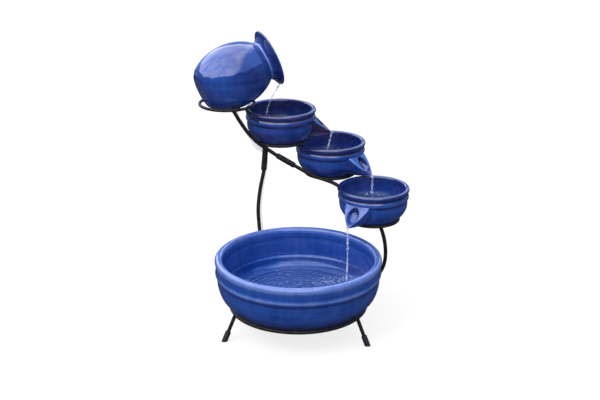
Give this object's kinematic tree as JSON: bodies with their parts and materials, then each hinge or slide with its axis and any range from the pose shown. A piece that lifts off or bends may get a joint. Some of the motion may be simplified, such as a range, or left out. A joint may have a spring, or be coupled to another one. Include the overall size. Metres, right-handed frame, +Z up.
{
  "type": "tabletop water fountain",
  "caption": "Cascade fountain: a tilted jar and spouted bowls stand in welded rod rings above a wide glazed basin with a small pump.",
  "frame": {"origin": "on the floor, under the middle of the bounding box", "axes": "+Z up, -Y towards the front of the basin, +X to the right, where the lowest bowl stands"},
  "size_m": [0.455, 0.49, 0.5649],
  "materials": {
    "glaze": "glossy cobalt-blue glaze that breaks to a paler blue and brown on lips and ridges",
    "black_metal": "semi-gloss black paint on steel rod",
    "rubber": "matt",
    "pump_plastic": "moulded, slightly textured",
    "slider_plastic": "moulded",
    "rotor": "moulded over a magnet",
    "shaft_ceramic": "ground",
    "clear_vinyl": "clear soft tube"
  },
  "bodies": {
    "stand": {"basin": "glaze", "jar_ring": "black_metal", "upper_ring": "black_metal", "middle_ring": "black_metal", "lower_ring": "black_metal", "basin_ring": "black_metal", "upper_rail": "black_metal", "lower_rail": "black_metal", "rail_sleeve": "black_metal", "left_post": "black_metal", "left_post_socket": "black_metal", "right_post": "black_metal", "left_leg": "black_metal", "right_leg": "black_metal", "rear_leg": "black_metal", "left_foot": "rubber", "right_foot": "rubber", "rear_foot": "rubber", "pump_housing": "pump_plastic", "impeller_cover": "pump_plastic", "impeller_shaft": "shaft_ceramic", "shaft_bushes": "rubber", "suction_cups": "rubber", "pump_outlet": "pump_plastic", "cable_gland": "rubber", "pump_hose": "clear_vinyl", "floor_fitting": "pump_plastic", "floor_seal": "rubber", "floor_nut": "pump_plastic", "feed_hose": "clear_vinyl", "hose_clip": "pump_plastic"},
    "jar_body": {"jar": "glaze", "jar_bush": "rubber"},
    "upper_bowl_body": {"upper_bowl": "glaze"},
    "middle_bowl_body": {"middle_bowl": "glaze"},
    "lower_bowl_body": {"lower_bowl": "glaze"},
    "rotor": {"impeller": "rotor"},
    "cover": {"intake_cover": "pump_plastic"},
    "slider": {"flow_slider": "slider_plastic"}
  },
  "joints": [
    {"name": "jar_lift", "type": "slide", "parent": "stand", "child": "jar_body", "axis": [0, 0, 1], "range_m": [0, 0.1]},
    {"name": "upper_bowl_turn", "type": "hinge", "parent": "stand", "child": "upper_bowl_body", "pos_m": [-0.04347, 0.157, 0.4055], "axis": [0, 0, 1], "range_deg": [-28, 30]},
    {"name": "middle_bowl_turn", "type": "hinge", "parent": "stand", "child": "middle_bowl_body", "pos_m": [0.06353, 0.169, 0.329], "axis": [0, 0, 1], "range_deg": [-30, 6]},
    {"name": "lower_bowl_turn", "type": "hinge", "parent": "stand", "child": "lower_bowl_body", "pos_m": [0.15153, 0.053, 0.264], "axis": [0, 0, 1], "range_deg": [-30, 18]},
    {"name": "impeller_spin", "type": "hinge", "parent": "stand", "child": "rotor", "pos_m": [-0.02947, -0.173, 0.099], "axis": [0, 1, 0], "continuous": true},
    {"name": "cover_slide", "type": "slide", "parent": "stand", "child": "cover", "axis": [0, -1, 0], "range_m": [0, 0.006]},
    {"name": "flow_slide", "type": "slide", "parent": "cover", "child": "slider", "axis": [1, 0, 0], "range_m": [0, 0.01]}
  ]
}
